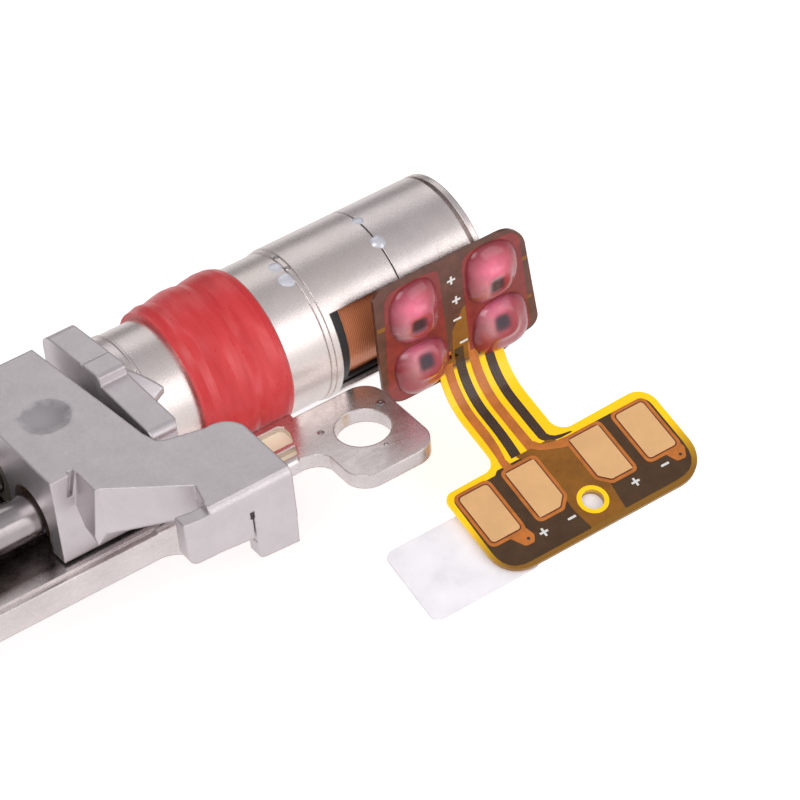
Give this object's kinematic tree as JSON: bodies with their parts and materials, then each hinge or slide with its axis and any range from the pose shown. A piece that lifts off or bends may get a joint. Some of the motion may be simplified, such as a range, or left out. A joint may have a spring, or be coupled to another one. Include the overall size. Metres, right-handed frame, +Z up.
{
  "type": "stepper linear actuator",
  "caption": "Miniature can-stack stepper with planetary gearbox and lead screw, driving a hooked carriage along a guide rod on a pressed base, with a printed tail.",
  "frame": {"origin": "centre of the ear hole, at the middle of the sheet's thickness", "axes": "+X along the motor axis from the lead screw to the motor's end cap, +Z up from the base along the ear hole, -Y towards the outer side with the ear's free edge and the printed tail"},
  "size_m": [0.0322, 0.0117, 0.0076],
  "materials": {
    "sheet_steel": "satin",
    "moulded_steel": "matte",
    "bronze": "satin",
    "polished_steel": "polished",
    "nut_plastic": "matte",
    "gear_metal": "satin",
    "magnet": "matte",
    "nickel_shell": "satin",
    "red_silicone": "semi-gloss",
    "black_plastic": "matte",
    "copper_wire": "enamelled",
    "washer_plastic": "matte",
    "pin_metal": "tinned",
    "film": "gloss",
    "stiffener": "matte",
    "pad_gold": "plated",
    "glue": "gloss",
    "liner": "matte",
    "pad_cream": "matte"
  },
  "bodies": {
    "base": {"base_frame": "sheet_steel", "strip_pad": "pad_cream", "gearbox_end_plate": "moulded_steel", "front_bush": "bronze", "far_bush": "bronze", "guide_rod": "polished_steel", "gearbox_barrel": "nickel_shell", "gearbox_rear_cover": "nickel_shell", "damping_sleeve": "red_silicone", "motor_front_plate": "nickel_shell", "front_bearing": "bronze", "stator_cup_front": "nickel_shell", "claw_plate_front": "nickel_shell", "claw_plate_rear": "nickel_shell", "stator_cup_rear": "nickel_shell", "bobbin_front": "black_plastic", "bobbin_rear": "black_plastic", "coil_front": "copper_wire", "coil_rear": "copper_wire", "motor_end_cap": "nickel_shell", "rear_bearing": "bronze", "thrust_washers": "washer_plastic", "terminal_pins": "pin_metal", "printed_tail": "film", "tail_stiffener": "stiffener", "contact_pads": "pad_gold", "glue_domes": "glue", "release_liner": "liner"},
    "screw": {"lead_screw": "polished_steel", "output_carrier": "gear_metal"},
    "out_a": {"planet_out_a": "gear_metal"},
    "out_b": {"planet_out_b": "gear_metal"},
    "out_c": {"planet_out_c": "gear_metal"},
    "stage": {"stage_carrier": "gear_metal", "stage_sun": "gear_metal"},
    "in_a": {"planet_in_a": "gear_metal"},
    "in_b": {"planet_in_b": "gear_metal"},
    "in_c": {"planet_in_c": "gear_metal"},
    "rotor": {"rotor_shaft": "polished_steel", "input_sun": "gear_metal", "rotor_magnet": "magnet"},
    "slider": {"carriage": "moulded_steel", "drive_nut": "nut_plastic", "slide_bush": "bronze"}
  },
  "joints": [
    {"name": "carriage_slide", "type": "slide", "parent": "base", "child": "slider", "axis": [-1, 0, 0], "range_m": [0, 0.008]},
    {"name": "screw_turn", "type": "hinge", "parent": "base", "child": "screw", "pos_m": [-0.01263, 0.00446, 0.00115], "axis": [1, 0, 0], "range_deg": [0, 3601]},
    {"name": "stage_turn", "type": "hinge", "parent": "base", "child": "stage", "pos_m": [-0.00363, 0.00446, 0.00115], "axis": [1, 0, 0], "range_deg": [0, 12601]},
    {"name": "rotor_turn", "type": "hinge", "parent": "base", "child": "rotor", "pos_m": [0.00137, 0.00446, 0.00115], "axis": [1, 0, 0], "range_deg": [0, 44101]},
    {"name": "out_a_turn", "type": "hinge", "parent": "screw", "child": "out_a", "pos_m": [-0.00438, 0.00446, -0.00001], "axis": [1, 0, 0], "range_deg": [-12001, 0]},
    {"name": "out_b_turn", "type": "hinge", "parent": "screw", "child": "out_b", "pos_m": [-0.00438, 0.00546, 0.00173], "axis": [1, 0, 0], "range_deg": [-12001, 0]},
    {"name": "out_c_turn", "type": "hinge", "parent": "screw", "child": "out_c", "pos_m": [-0.00438, 0.00346, 0.00173], "axis": [1, 0, 0], "range_deg": [-12001, 0]},
    {"name": "in_a_turn", "type": "hinge", "parent": "stage", "child": "in_a", "pos_m": [-0.00278, 0.00446, -0.00001], "axis": [1, 0, 0], "range_deg": [-42001, 0]},
    {"name": "in_b_turn", "type": "hinge", "parent": "stage", "child": "in_b", "pos_m": [-0.00278, 0.00546, 0.00173], "axis": [1, 0, 0], "range_deg": [-42001, 0]},
    {"name": "in_c_turn", "type": "hinge", "parent": "stage", "child": "in_c", "pos_m": [-0.00278, 0.00346, 0.00173], "axis": [1, 0, 0], "range_deg": [-42001, 0]}
  ],
  "couplings": [
    {"joint": "screw_turn", "follows": "carriage_slide", "rad_per_m": 7854},
    {"joint": "stage_turn", "follows": "carriage_slide", "rad_per_m": 27489},
    {"joint": "rotor_turn", "follows": "carriage_slide", "rad_per_m": 96211},
    {"joint": "out_a_turn", "follows": "carriage_slide", "rad_per_m": -26180},
    {"joint": "out_b_turn", "follows": "carriage_slide", "rad_per_m": -26180},
    {"joint": "out_c_turn", "follows": "carriage_slide", "rad_per_m": -26180},
    {"joint": "in_a_turn", "follows": "carriage_slide", "rad_per_m": -91630},
    {"joint": "in_b_turn", "follows": "carriage_slide", "rad_per_m": -91630},
    {"joint": "in_c_turn", "follows": "carriage_slide", "rad_per_m": -91630}
  ]
}
